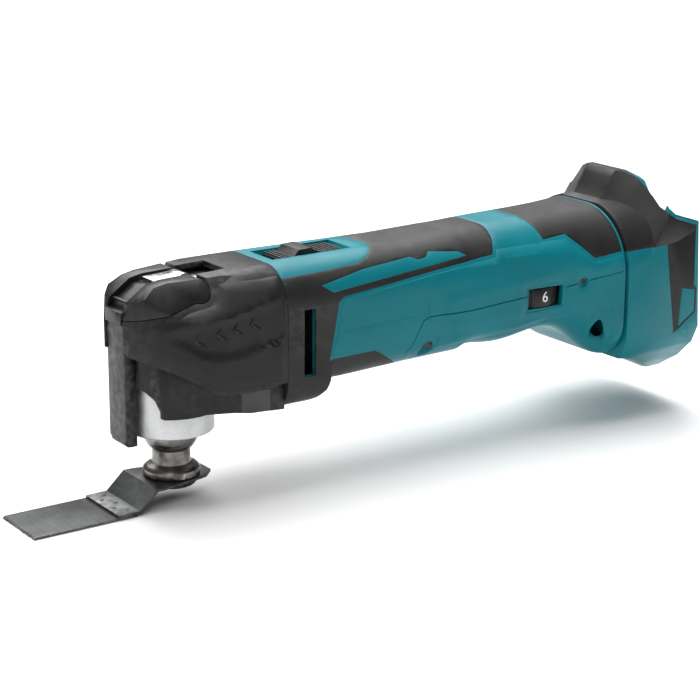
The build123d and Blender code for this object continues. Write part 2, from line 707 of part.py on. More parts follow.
# ---- motor --------------------------------------------------------------------------
with BuildPart() as motor_shaft:
    add(cross_ring(33.5, 143, SHAFT_R))
    add(cross_ring(25.5, 34, 4.2, z=MOTOR_Z + ECCENTRIC))
finish(motor_shaft.part, "motor_shaft")

finish(cross_ring(26, 33, 8, 4.2, z=MOTOR_Z + ECCENTRIC), "eccentric_bearing")
finish(cross_ring(SEAM_X + 0.6, 49, 8, SHAFT_R), "front_bearing")
finish(cross_ring(138, 142.5, 7, SHAFT_R), "rear_bearing")

with BuildPart() as fan:
    add(cross_ring(52.4, 54, 20.5, SHAFT_R))
    add(cross_ring(52.4, 60, 6, SHAFT_R))
    with BuildSketch(cross_plane(54)):
        with Locations((0, MOTOR_Z)):
            with PolarLocations(13.6, 11):
                Rectangle(13, 1.4, rotation=18)
    extrude(amount=5)
finish(fan.part, "fan")

with BuildPart() as baffle:
    add(cross_ring(61, 62.6, 27, 14))
    add(block(60, 64, -13.5, 13.5, 86.8, 100), mode=Mode.SUBTRACT)
finish(baffle.part, "fan_baffle")

finish(cross_ring(64, 124, 19.5, 17.6), "motor_yoke")

with BuildPart() as magnets:
    add(cross_ring(70, 122, 17.6, 14.4))
    add(block(60, 130, -30, 30, MOTOR_Z - 3, MOTOR_Z + 3), mode=Mode.SUBTRACT)
finish(magnets.part, "magnets")

SLOTS = 12
with BuildPart() as armature_core:
    with BuildSketch(cross_plane(76)):
        with Locations((0, MOTOR_Z)):
            Circle(13)
            Circle(SHAFT_R, mode=Mode.SUBTRACT)
            with PolarLocations(10.6, SLOTS):
                Rectangle(5.6, 2.2, mode=Mode.SUBTRACT)
    extrude(amount=40)
finish(armature_core.part, "armature_core")

with BuildPart() as windings:
    with BuildSketch(cross_plane(76)):
        with Locations((0, MOTOR_Z)):
            with PolarLocations(9.9, SLOTS):
                Rectangle(4.0, 1.9)
    extrude(amount=40)
    for x_low, x_high in ((70, 76), (116, 121)):
        add(cross_ring(x_low, x_high, 12, 5))
finish(windings.part, "windings")

finish(cross_ring(124, 134, 8, SHAFT_R), "commutator")

with BuildPart() as end_cap:
    add(cross_ring(124, 145, 19.5, 17))
    add(cross_ring(136, 145, 19.5, 9))
    add(cross_ring(138, 145, 9, 7))
    add(block(120, 135.6, -30, 30, MOTOR_Z - 4.6, MOTOR_Z + 4.6), mode=Mode.SUBTRACT)
finish(end_cap.part, "motor_end_cap")

with BuildPart() as brush_holders:
    for side in (-1, 1):
        y_low, y_high = sorted((side * 9.2, side * 19.4))
        add(block(125.4, 133, y_low, y_high, MOTOR_Z - 4, MOTOR_Z + 4))
        add(block(126.4, 132, y_low, y_high, MOTOR_Z - 3, MOTOR_Z + 3), mode=Mode.SUBTRACT)
        cap_low, cap_high = sorted((side * 18.6, side * 19.4))
        add(block(126.4, 132, cap_low, cap_high, MOTOR_Z - 3, MOTOR_Z + 3))
finish(brush_holders.part, "brush_holders")

with BuildPart() as brushes:
    for side in (-1, 1):
        y_low, y_high = sorted((side * 8.2, side * 13.6))
        add(block(126.6, 131.8, y_low, y_high, MOTOR_Z - 2.8, MOTOR_Z + 2.8))
finish(brushes.part, "carbon_brushes")

with BuildPart() as brush_springs:
    for side in (-1, 1):
        with BuildSketch(Plane(origin=(129.2, side * 13.6, MOTOR_Z), z_dir=(0, side, 0))):
            Circle(2.2)
            Circle(1.5, mode=Mode.SUBTRACT)
        extrude(amount=5)
finish(brush_springs.part, "brush_springs")

# ---- switch, dial and electrics ---------------------------------------------------------
KNOB = (55.4, 92.6)
HUMP = (65.5, 76.5)
RIB_PITCH = 2.2
KNOB_TOP = SLOT_FLOOR + 1.8

with BuildPart() as switch_knob:
    add(block(KNOB[0], KNOB[1], -8.6, 8.6, SLOT_FLOOR + 0.35, KNOB_TOP))
    with BuildSketch(side_plane()) as hump_face:
        with BuildLine():
            Polyline((HUMP[0] - 3.5, KNOB_TOP - 0.4), (HUMP[0], KNOB_TOP + 3.4),
                     (HUMP[1] - 4, KNOB_TOP + 3.6), (HUMP[1] + 1, KNOB_TOP - 0.4), close=True)
        make_face()
    extrude(amount=7.6, both=True)
    ribs = int((KNOB[1] - KNOB[0]) / RIB_PITCH)
    for i in range(ribs):
        x = KNOB[0] + 0.5 + i * RIB_PITCH
        if x < HUMP[0] - 4 or x > HUMP[1] + 0.5:
            add(block(x, x + 1.2, -8.0, 8.0, KNOB_TOP - 0.2, KNOB_TOP + 0.9))
    add(block(62.5, 79.5, -5, 5, 89.5, SLOT_FLOOR + 0.6))
finish(switch_knob.part, "switch_knob")

with BuildPart() as switch_link:
    add(block(60, 168, -7.5, 7.5, 87.6, 89.5))
finish(switch_link.part, "switch_link")

MODULE_END = 177
LEAD_END = 256
with BuildPart() as switch_module:
    add(block(153, MODULE_END, -11, 11, 66, 86))
    add(block(157, 173, -4, 4, 86, 87.2))
finish(switch_module.part, "switch_module")

with BuildPart() as speed_dial:
    with BuildSketch(Plane.XY.offset(DIAL_LOW)):
        with Locations((DIAL_X, DIAL_Y)):
            Circle(DIAL_R)
            Circle(DIAL_POST_R + RUN, mode=Mode.SUBTRACT)
            with PolarLocations(DIAL_R, DIAL_RIBS, start_angle=270 + DIAL_PAD / 2,
                                angular_range=360 - DIAL_PAD):
                Rectangle(0.9, 1.3, mode=Mode.SUBTRACT)
    extrude(amount=DIAL_HIGH - DIAL_LOW)
finish(speed_dial.part, "speed_dial")

with BuildPart() as dial_board:
    add(block(DIAL_X - 16, DIAL_X + 16, -24, 2, 53, 54.6))
    add(ring(54.6, DIAL_HIGH + 1, DIAL_POST_R, x=DIAL_X, y=DIAL_Y))
    add(ring(54.6, DIAL_LOW - 0.4, 4.0, x=DIAL_X, y=DIAL_Y))
finish(dial_board.part, "dial_board")

with BuildPart() as power_leads:
    for y in (-3.5, 3.5):
        add(cross_ring(MODULE_END, LEAD_END, 1.5, z=70, y=y))
finish(power_leads.part, "power_leads")

# ---- battery housing ----------------------------------------------------------------------
FIN_TOP = 115.4
V_BASE = 1.6
BAY_RIM = 90.4                           # top of the rear rim, which leans forward as it rises
RIM_LEAN = 0.064
FIN_CORNER = (267, 26, 110.5)            # point on the swept front planes of the fin, and their normal
FIN_SWEEP = (-0.703, 0.572, 0.422)


def bay_flare(inset):
    """Room for the battery housing: the handle's form carried on, and a fin swept back to the sides."""
    with BuildPart() as swept:
        add(block(BAY_FRONT, BAY_END, -45, 45, -5, 125))
        for side in (-1, 1):
            normal = Vector(FIN_SWEEP[0], side * FIN_SWEEP[1], FIN_SWEEP[2])
            corner = Vector(FIN_CORNER[0], side * FIN_CORNER[1], FIN_CORNER[2])
            face = Plane(origin=corner - normal * inset, z_dir=normal)
            add(face * Box(200, 200, 90, align=(Align.CENTER, Align.CENTER, Align.MIN),
                           mode=Mode.PRIVATE), mode=Mode.SUBTRACT)
    carried_on = [rounded_section(BAY_FRONT, 39.8 - inset, 15, 101 - inset, 32 - inset, 12),
                  rounded_section(BAY_END, 42 - inset, 15, 105 - inset, 30 - inset, 12)]
    with BuildPart() as flare:
        loft(carried_on)
        add(swept.part)
    return flare.part


def bay_form(inset):
    """Block with the outline of the battery, a fin above and a keel below."""
    half = BAY_HALF - inset
    slope = 1.2 * inset
    side = [(0, V_BASE + slope), (12, 5.8 + slope), (26 - inset / 2, 14.6 + slope),
            (36 - inset, 24.5 + inset / 2), (half, 34), (half, 94), (38.6 - inset, 98),
            (33.4 - inset, 104.6 - inset / 2), (26 - inset / 2, 110.8 - inset), (13, FIN_TOP - inset),
            (0, FIN_TOP - inset)]
    with BuildPart() as form:
        with BuildSketch(cross_plane(BAY_FRONT + inset)):
            with BuildLine():
                Polyline(*side, close=True)
            make_face()
            mirror(about=Plane.YZ)
        extrude(amount=BAY_END - BAY_FRONT - inset)
        lean = 0.75 * inset
        rim_top = BAY_RIM - inset
        profile = [(BAY_FRONT, 22.8 + inset), (256, 20.2 + inset), (268, 15.6 + inset),
                   (278, 9.4 + inset), (BAY_END, V_BASE + inset), (BAY_END, 34),
                   (BAY_END - RIM_LEAN * (rim_top - 34), rim_top), (274, 95.6 - inset),
                   (270.8 - inset / 2, 98.6 - inset), (270 - lean, 104.6), (268.2 - lean, 110.8 - inset / 2),
                   (263.4 - inset / 2, FIN_TOP), (257.6 + lean, FIN_TOP), (255 + lean, 112),
                   (252.4 + lean, 106.6), (248.6 + inset, 101.6 - inset), (BAY_FRONT, 100.4 - inset)]
        add(side_prism(profile, 60), mode=Mode.INTERSECT)
        add(bay_flare(inset), mode=Mode.INTERSECT)
    return form.part


bay_outer = bay_form(0)
bay_core = bay_form(SKIN)
bay_inner = bay_form(WALL)

BUMPER_OUTLINE = [(240, 79.6), (268.6, 80.4), (276.4, 81.4), (288.6, 85.9), (288.6, 88.4), (274.4, 93.2),
                  (270.4, 95.6), (267.4, 99.4), (266.4, 104.6), (264.8, 110), (261.4, 120), (240, 120)]
PANEL_OUTLINE = [(268.6, 80.4), (276.4, 81.4), (288.6, 85.9), (289.3, 56.6), (291.2, 54.5),
                 (291.2, 42), (276.4, 32)]
BADGE_OUTLINE = [(281, 55.8), (290, 54), (290.2, 42.4), (279.4, 35.6)]

with BuildPart() as bumper_layer:
    add(bay_outer)
    add(bay_core, mode=Mode.SUBTRACT)

with BuildPart() as battery_bumper:
    add(bumper_layer.part)
    add(side_prism(BUMPER_OUTLINE, 60), mode=Mode.INTERSECT)
finish(battery_bumper.part, "battery_bumper")

badge_region = side_prism(BADGE_OUTLINE, 60)
with BuildPart() as side_panels:
    add(bumper_layer.part)
    add(side_prism(PANEL_OUTLINE, 60), mode=Mode.INTERSECT)
    add(block(260, 300, -30, 30, 0, 120), mode=Mode.SUBTRACT)
    add(badge_region, mode=Mode.SUBTRACT)
    add(battery_bumper.part, mode=Mode.SUBTRACT)
finish(side_panels.part, "side_panels")

with BuildPart() as side_badges:
    add(bumper_layer.part)
    add(badge_region, mode=Mode.INTERSECT)
    add(block(260, 300, -30, 30, 0, 120), mode=Mode.SUBTRACT)
finish(side_badges.part, "side_badges")

BLOCK_HALF = 15.0                       # terminal block
BLOCK_LOW = 40.0
BLOCK_HIGH = 60.0
RAIL_LOW = 28.0
RAIL_HIGH = 86.0

with BuildPart() as bay_room:
    add(bay_inner)
    add(block(BAY_FACE, BAY_END + 5, -60, 60, -5, 85), mode=Mode.INTERSECT)

with BuildPart() as battery_housing:
    add(bay_outer)
    # hollow behind the face, and the bay that the battery fills
    add(block(BAY_FRONT + WALL, BAY_FACE - WALL, -34, 34, 26, 96), mode=Mode.SUBTRACT)
    add(bay_room.part, mode=Mode.SUBTRACT)
    add(block(BAY_FACE, BAY_END + 5, -BAY_HALF + WALL, BAY_HALF - WALL, 40, 125), mode=Mode.SUBTRACT)
    for side in (-1, 1):
        y_low, y_high = sorted((side * 31, side * (BAY_HALF - WALL)))
        add(block(277, 280.5, y_low, y_high, RAIL_LOW, RAIL_HIGH))
    for layer in (battery_bumper, side_panels, side_badges):
        add(layer.part, mode=Mode.SUBTRACT)
    # window for the terminal block, latch notch and the way for the leads
    add(block(BAY_FACE - 5, BAY_FACE + 1, -BLOCK_HALF, BLOCK_HALF, BLOCK_LOW, BLOCK_HIGH),
        mode=Mode.SUBTRACT)
    add(block(BAY_FACE - 5, BAY_FACE + 1, -9, 9, 88, 94), mode=Mode.SUBTRACT)
    add(cross_ring(240, 250, 9), mode=Mode.SUBTRACT)
finish(battery_housing.part, "battery_housing")

with BuildPart() as terminal_block:
    add(block(258, 270, -BLOCK_HALF, BLOCK_HALF, BLOCK_LOW, BLOCK_HIGH))
    add(block(LEAD_END, 262, -8, 8, 56, 74))
    for y in (-10.5, 0, 10.5):
        add(block(259, 271, y - 0.5, y + 0.5, BLOCK_LOW + 3, BLOCK_HIGH - 3), mode=Mode.SUBTRACT)
finish(terminal_block.part, "terminal_block")

with BuildPart() as terminal_blades:
    for y in (-10.5, 0, 10.5):
        add(block(259, 278 if y else 275, y - 0.5, y + 0.5, BLOCK_LOW + 3, BLOCK_HIGH - 3))
finish(terminal_blades.part, "terminal_blades")

# rubber mounts that carry the battery housing on the handle
with BuildPart() as damper_pads:
    with BuildSketch(cross_plane(HANDLE_END)):
        with Locations((-22, 40), (22, 40), (-22, 84), (22, 84)):
            Circle(5)
            Circle(2, mode=Mode.SUBTRACT)
    extrude(amount=BAY_FRONT - HANDLE_END)
finish(damper_pads.part, "damper_pads")
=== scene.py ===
import json
import math

import bmesh
import bpy
from mathutils import Matrix, Vector
from mathutils.bvhtree import BVHTree
from mathutils.geometry import delaunay_2d_cdt


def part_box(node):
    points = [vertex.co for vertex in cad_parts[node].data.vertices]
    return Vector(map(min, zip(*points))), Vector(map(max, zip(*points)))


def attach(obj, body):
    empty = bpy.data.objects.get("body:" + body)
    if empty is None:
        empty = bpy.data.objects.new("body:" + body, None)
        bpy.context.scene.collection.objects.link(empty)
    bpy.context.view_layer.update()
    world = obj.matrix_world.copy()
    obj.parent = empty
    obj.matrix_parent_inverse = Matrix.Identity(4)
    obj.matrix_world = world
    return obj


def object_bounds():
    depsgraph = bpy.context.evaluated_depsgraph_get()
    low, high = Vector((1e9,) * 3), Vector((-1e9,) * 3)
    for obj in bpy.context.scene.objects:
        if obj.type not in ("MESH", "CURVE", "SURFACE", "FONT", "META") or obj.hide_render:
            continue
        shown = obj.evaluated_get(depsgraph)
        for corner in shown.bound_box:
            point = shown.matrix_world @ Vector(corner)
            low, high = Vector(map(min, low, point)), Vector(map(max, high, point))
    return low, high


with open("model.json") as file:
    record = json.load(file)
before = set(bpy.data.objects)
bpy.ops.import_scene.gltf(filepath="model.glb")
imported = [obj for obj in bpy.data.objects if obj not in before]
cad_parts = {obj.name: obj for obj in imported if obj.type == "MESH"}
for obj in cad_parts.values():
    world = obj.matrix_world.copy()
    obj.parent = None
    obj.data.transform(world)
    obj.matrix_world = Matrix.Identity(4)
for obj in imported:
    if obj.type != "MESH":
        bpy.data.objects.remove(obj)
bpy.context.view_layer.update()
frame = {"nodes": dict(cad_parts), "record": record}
nodes = frame["nodes"]
MM = 0.001

# ranges of noise that are stretched to the full range of a colour, a roughness and worn patches
COLOUR_CONTRAST = (0.35, 0.65)
ROUGH_CONTRAST = (0.3, 0.7)
PATCH_CONTRAST = (0.42, 0.62)
PATCH_NOISE = (260, 5)
EDGE_POINTINESS = (0.53, 0.62)     # from a nearly flat surface to a convex edge


# ---- node helpers -----------------------------------------------------------------
def new_material(name, rough, metal=0.0):
    """A node material, its node tree and its shader."""
    mat = bpy.data.materials.new(name)
    mat.use_nodes = True
    shader = mat.node_tree.nodes["Principled BSDF"]
    shader.inputs["Metallic"].default_value = metal
    shader.inputs["Roughness"].default_value = rough
    return mat, mat.node_tree, shader


def noise(tree, scale, detail, stretch=(1, 1, 1), rough=0.5):
    """Noise over the object's coordinates, in metres, stretched along some axes."""
    place = tree.nodes.new("ShaderNodeMapping")
    place.inputs["Scale"].default_value = stretch
    coords = tree.nodes.new("ShaderNodeTexCoord").outputs["Object"]
    tree.links.new(coords, place.inputs["Vector"])
    tex = tree.nodes.new("ShaderNodeTexNoise")
    tex.inputs["Scale"].default_value = scale
    tex.inputs["Detail"].default_value = detail
    tex.inputs["Roughness"].default_value = rough
    tree.links.new(place.outputs["Vector"], tex.inputs["Vector"])
    return tex.outputs["Fac"]


def ramp(tree, value, low, high, a, b):
    """Remaps a value, clamped, to between a and b."""
    node = tree.nodes.new("ShaderNodeMapRange")
    node.inputs["From Min"].default_value = low
    node.inputs["From Max"].default_value = high
    node.inputs["To Min"].default_value = a
    node.inputs["To Max"].default_value = b
    tree.links.new(value, node.inputs["Value"])
    return node.outputs["Result"]


def mix_colour(tree, fac, first, second):
    """Mixes two colours, either of which may be a socket."""
    node = tree.nodes.new("ShaderNodeMix")
    node.data_type = "RGBA"
    for socket, value in ((node.inputs[6], first), (node.inputs[7], second)):
        if isinstance(value, bpy.types.NodeSocket):
            tree.links.new(value, socket)
        else:
            socket.default_value = (*value, 1)
    tree.links.new(fac, node.inputs[0])
    return node.outputs[2]


def add_bump(tree, shader, height, strength, distance):
    """Adds one layer of bump to the shader, on top of any there is."""
    bump = tree.nodes.new("ShaderNodeBump")
    bump.inputs["Strength"].default_value = strength
    bump.inputs["Distance"].default_value = distance
    tree.links.new(height, bump.inputs["Height"])
    if shader.inputs["Normal"].is_linked:
        below = shader.inputs["Normal"].links[0].from_socket
        tree.links.new(below, bump.inputs["Normal"])
    tree.links.new(bump.outputs["Normal"], shader.inputs["Normal"])


def edge_wear(tree, amount):
    """About 0 on flat areas and up to amount on convex edges, broken up by noise."""
    geometry = tree.nodes.new("ShaderNodeNewGeometry")
    edge = ramp(tree, geometry.outputs["Pointiness"], *EDGE_POINTINESS, 0.0, amount)
    patches = ramp(tree, noise(tree, *PATCH_NOISE), *PATCH_CONTRAST, 0.0, 1.0)
    product = tree.nodes.new("ShaderNodeMath")
    product.operation = "MULTIPLY"
    tree.links.new(edge, product.inputs[0])
    tree.links.new(patches, product.inputs[1])
    return product.outputs[0]


def finish(name, rough, tint, colours, spread, bumps, metal=0.0, specular=None, wear=None):
    """A finish from noise.

    tint is the noise that mixes the two colours, spread is the noise of the roughness with its
    least and greatest value, each of bumps is a noise with its strength and distance, and wear is
    the amount and the colour of worn edges.
    """
    mat, tree, shader = new_material(name, rough, metal)
    if specular is not None:
        shader.inputs["Specular IOR Level"].default_value = specular
    colour = mix_colour(tree, ramp(tree, noise(tree, *tint), *COLOUR_CONTRAST, 0, 1), *colours)
    if wear is not None:
        colour = mix_colour(tree, edge_wear(tree, wear[0]), colour, wear[1])
    tree.links.new(colour, shader.inputs["Base Color"])
    tree.links.new(ramp(tree, noise(tree, *spread[0]), *ROUGH_CONTRAST, *spread[1]),
                   shader.inputs["Roughness"])
    for height, strength, distance in bumps:
        add_bump(tree, shader, noise(tree, *height), strength, distance)
    return mat


def plain_finish(name, low, high, rough, metal=0.0):
    """A simple finish for a part inside the tool, between two colours."""
    return finish(name, rough, (120, 5), (low, high), ((260, 5), (rough - 0.07, rough + 0.08)),
                  [((1200, 3), 0.2, 0.00015)], metal)


def studio_floor():
    """The floor's material."""
    mat, tree, shader = new_material("studio_floor", 0.7)
    tint = mix_colour(tree, noise(tree, 3, 2), (0.88, 0.88, 0.88), (0.9, 0.9, 0.9))
    tree.links.new(tint, shader.inputs["Base Color"])
    return mat


# ---- materials --------------------------------------------------------------------
# noises drawn out along a direction: turning marks, brushing and the blade's grinding
TURNING = (900, 3, (0.04, 0.04, 1))
BRUSHING = (1200, 3, (0.2, 1, 1))
GRINDING = (700, 4, (1, 0.06, 1))
BLASTING = (2400, 3)

TEAL = finish("teal_plastic", 0.4, (30, 5), ((0.0, 0.155, 0.19), (0.0, 0.178, 0.216)),
              ((90, 6), (0.34, 0.46)), [((2600, 3), 0.16, 0.0002), ((24, 2), 0.05, 0.0012)],
              specular=0.22, wear=(0.35, (0.015, 0.3, 0.35)))
BLACK = finish("black_plastic", 0.42, (36, 5), ((0.007, 0.0075, 0.0078), (0.011, 0.0115, 0.012)),
               ((110, 6), (0.36, 0.5)), [((2300, 3), 0.22, 0.00022)],
               specular=0.28, wear=(0.4, (0.09, 0.09, 0.09)))
RUBBER = finish("black_rubber", 0.55, (42, 5), ((0.012, 0.0118, 0.0115), (0.018, 0.0174, 0.0168)),
                ((85, 6), (0.42, 0.58)), [((1900, 4), 0.3, 0.00028)],
                specular=0.32, wear=(0.3, (0.08, 0.075, 0.07)))
LEVER = finish("lever_finish", 0.38, (60, 5), ((0.004, 0.0045, 0.0046), (0.007, 0.0075, 0.0078)),
               ((130, 5), (0.32, 0.46)), [((3000, 2), 0.12, 0.00015)],
               specular=0.32, wear=(0.5, (0.14, 0.14, 0.14)))
ALUMINIUM = finish("cast_aluminium", 0.45, BLASTING, ((0.56, 0.565, 0.57), (0.7, 0.705, 0.71)),
                   ((160, 5), (0.38, 0.55)), [(BLASTING, 0.35, 0.0002)], metal=0.85)
TURNED = finish("turned_steel", 0.3, (140, 6), ((0.1, 0.095, 0.088), (0.26, 0.25, 0.235)),
                (TURNING, (0.2, 0.42)), [(TURNING, 0.25, 0.0001)],
                metal=1.0, wear=(0.8, (0.55, 0.54, 0.52)))
BRIGHT = finish("bright_steel", 0.25, (180, 5), ((0.42, 0.42, 0.42), (0.6, 0.6, 0.59)),
                (BRUSHING, (0.18, 0.36)), [(BRUSHING, 0.15, 0.0001)], metal=1.0)
BLADE = finish("blade_steel", 0.42, (120, 6, (1, 1, 1), 0.7),
               ((0.045, 0.047, 0.047), (0.085, 0.088, 0.088)), (GRINDING, (0.34, 0.52)),
               [(GRINDING, 0.2, 0.0001), ((2600, 2), 0.15, 0.0001)],
               metal=0.75, wear=(0.7, (0.35, 0.35, 0.34)))
OXIDE = finish("black_oxide", 0.38, (200, 5), ((0.02, 0.02, 0.02), (0.045, 0.045, 0.045)),
               ((300, 5), (0.3, 0.48)), [((1800, 2), 0.2, 0.0001)],
               metal=0.6, wear=(0.6, (0.2, 0.2, 0.2)))
LENS = finish("smoked_lens", 0.12, (80, 4), ((0.012, 0.013, 0.014), (0.02, 0.021, 0.023)),
              ((200, 5), (0.1, 0.22)), [((900, 2), 0.06, 0.0001)])
WHITE = finish("white_print", 0.5, (700, 5), ((0.68, 0.69, 0.69), (0.8, 0.81, 0.81)),
               ((500, 3), (0.42, 0.6)), [((2400, 2), 0.15, 0.0001)])
COPPER = plain_finish("copper", (0.5, 0.2, 0.09), (0.62, 0.28, 0.14), 0.32, 1.0)
BRASS = plain_finish("brass", (0.55, 0.4, 0.16), (0.68, 0.5, 0.22), 0.3, 1.0)
CARBON = plain_finish("carbon", (0.015, 0.015, 0.015), (0.03, 0.03, 0.03), 0.6)
FERRITE = plain_finish("ferrite", (0.03, 0.03, 0.03), (0.05, 0.05, 0.05), 0.55, 0.3)
BOARD = plain_finish("board", (0.006, 0.07, 0.025), (0.01, 0.1, 0.035), 0.32)
LEAD = plain_finish("lead", (0.3, 0.012, 0.012), (0.38, 0.02, 0.02), 0.4)

SLOT_MATERIALS = {
    "teal_housing": TEAL, "black_cover": BLACK, "black_rubber": RUBBER,
    "cast_aluminium": ALUMINIUM, "spindle_steel": TURNED, "blade_steel": BLADE,
    "bright_steel": BRIGHT, "black_steel": OXIDE, "lever_black": LEVER, "lens": LENS,
    "board": BOARD, "copper": COPPER, "brass": BRASS, "carbon": CARBON, "magnet": FERRITE,
    "lead_insulation": LEAD, "dial_black": BLACK,
}
node_slots = {part["node"]: part["material_slot"] for part in frame["record"]["subparts"]}

# moulded and machined edges are rounded a little, in millimetres by node
EDGE = {
    "head_cover": 0.5, "nose_cover": 0.5, "clamp_lever": 0.5, "front_grip": 0.25,
    "under_grip": 0.25, "rear_grip": 0.25, "upper_housing": 0.25, "lower_housing": 0.25,
    "battery_housing": 0.5, "battery_bumper": 0.4, "switch_knob": 0.25, "gear_housing": 0.4,
    "side_panels": 0.3, "side_badges": 0.25, "holder_bolt": 0.12, "spindle": 0.12,
    "led_lens": 0.3,
}
OTHER_EDGE = 0.15
BEVEL_ANGLE = math.radians(32)    # sharper edges than this are rounded
WELD_DISTANCE = 2e-6


def dress(obj, slot, width):
    """Gives a CAD node its material, smooth shading and rounded edges."""
    obj.data.materials.clear()
    obj.data.materials.append(SLOT_MATERIALS[slot])
    for face in obj.data.polygons:
        face.use_smooth = True
        face.material_index = 0
    weld = obj.modifiers.new("weld", "WELD")
    weld.merge_threshold = WELD_DISTANCE
    bevel = obj.modifiers.new("edges", "BEVEL")
    bevel.width = width * MM
    bevel.segments = 2
    bevel.limit_method = "ANGLE"
    bevel.angle_limit = BEVEL_ANGLE
    bevel.use_clamp_overlap = True
    bevel.harden_normals = True


for name, obj in nodes.items():
    dress(obj, node_slots[name], EDGE.get(name, OTHER_EDGE))


# ---- lines and outlines in the side view, as (x, z) in millimetres --------------------
def resample(points, step, closed=True):
    """Line with points at most two steps apart."""
    made = []
    count = len(points) if closed else len(points) - 1
    for i in range(count):
        a, b = points[i], points[(i + 1) % len(points)]
        parts = max(1, int(math.dist(a, b) / step))
        made += [(a[0] + (b[0] - a[0]) * k / parts, a[1] + (b[1] - a[1]) * k / parts)
                 for k in range(parts)]
    return made if closed else made + [points[-1]]


def inside(point, outline):
    """True if the point is inside the outline."""
    x, z = point
    odd = False
    for i in range(len(outline)):
        (x1, z1), (x2, z2) = outline[i - 1], outline[i]
        if (z1 > z) != (z2 > z) and x < (x2 - x1) * (z - z1) / (z2 - z1) + x1:
            odd = not odd
    return odd


def line_distance(point, line, closed=False):
    """Distance from the point to a line."""
    x, z = point
    best = math.inf
    pairs = zip(line, line[1:] + line[:1]) if closed else zip(line, line[1:])
    for (ax, az), (bx, bz) in pairs:
        dx, dz = bx - ax, bz - az
        size = dx * dx + dz * dz
        t = max(0.0, min(1.0, ((x - ax) * dx + (z - az) * dz) / size)) if size else 0.0
        best = min(best, math.hypot(x - ax - dx * t, z - az - dz * t))
    return best


def offset_line(line, distance, closed=False):
    """Line moved sideways, to the left of its direction."""
    made = []
    count = len(line)
    for i, p in enumerate(line):
        a = line[i - 1] if closed or i else line[0]
        b = line[(i + 1) % count] if closed or i < count - 1 else line[-1]
        d = (Vector(b) - Vector(a)).normalized()
        made.append((p[0] - d.y * distance, p[1] + d.x * distance))
    return made


def turn_of(outline):
    """1 for an outline that runs anticlockwise, and -1 for one that runs clockwise."""
    area = sum(outline[i - 1][0] * outline[i][1] - outline[i][0] * outline[i - 1][1]
               for i in range(len(outline)))
    return math.copysign(1, area)


def smooth(t):
    """Eases from 0 to 1."""
    t = max(0.0, min(1.0, t))
    return t * t * (3 - 2 * t)


def value_at(points, x):
    """Value of a line of (x, value) at x."""
    if x <= points[0][0]:
        return points[0][1]
    for (x1, v1), (x2, v2) in zip(points, points[1:]):
        if x <= x2:
            return v1 + (v2 - v1) * (x - x1) / (x2 - x1)
    return points[-1][1]


# ---- shapes laid on the moulded surfaces --------------------------------------------
RAY_START = 0.08                   # metres from the middle, outside the tool on either side
GRID_STEPS = 1.3                   # spacing of a patch's inner points, in steps
GRID_CLEAR = 0.4                   # steps between the inner points and the band
LINE_CLEAR = 0.45                  # steps between the inner points and the drawn lines
BAND_CLEAR = 0.8                   # share of the band that its points keep from every edge
MERGE_DISTANCE = 1e-4              # points of the plan closer than this, in millimetres, are one
SHARP_FOLD = math.radians(24)      # folds of a patch sharper than this are shaded as edges


def surface_of(*objects):
    """Ray target made from objects at rest."""
    verts, faces = [], []
    for obj in objects:
        start = len(verts)
        verts += [v.co.copy() for v in obj.data.vertices]
        faces += [[start + i for i in p.vertices] for p in obj.data.polygons]
    return BVHTree.FromPolygons(verts, faces)


def mesh_object(name, mesh, material, body):
    """Object from a bmesh, with its material, riding on a body."""
    for face in mesh.faces:
        face.smooth = True
    data = bpy.data.meshes.new(name)
    mesh.to_mesh(data)
    mesh.free()
    obj = bpy.data.objects.new(name, data)
    bpy.context.scene.collection.objects.link(obj)
    obj.data.materials.append(material)
    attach(obj, body)
    return obj


def patch_plan(outline, holes, lines, step, band):
    """Points and edges that a patch is triangulated from, in the side view.

    A row of points runs a band inside every edge, and the rest stand on a staggered grid.
    """
    edges = [outline, *holes]
    points, loops = [], []

    def add(line, closed):
        start = len(points)
        points.extend(Vector(p) for p in line)
        count = len(line)
        last = count if closed else count - 1
        loops.extend((start + i, start + (i + 1) % count) for i in range(last))

    def allowed(p):
        return inside(p, outline) and not any(inside(p, hole) for hole in holes)

    def edge_gap(p):
        return min(line_distance(p, edge, True) for edge in edges)

    for loop in edges:
        add(resample(loop, step), True)
        inward = turn_of(loop) * (1 if loop is outline else -1)
        for p in offset_line(resample(loop, step), band * inward, True):
            if allowed(p) and edge_gap(p) > band * BAND_CLEAR:
                points.append(Vector(p))
    for line in lines:
        add(resample(line, step, False), False)
    xs, zs = [p[0] for p in outline], [p[1] for p in outline]
    grid = step * GRID_STEPS
    for i in range(int((max(xs) - min(xs)) / grid) + 1):
        for k in range(int((max(zs) - min(zs)) / grid) + 1):
            p = (min(xs) + (i + 0.5 * (k % 2)) * grid, min(zs) + k * grid)
            if allowed(p) and edge_gap(p) > band + step * GRID_CLEAR and all(
                    line_distance(p, line) > step * LINE_CLEAR for line in lines):
                points.append(Vector(p))
    return points, loops, allowed, edge_gap


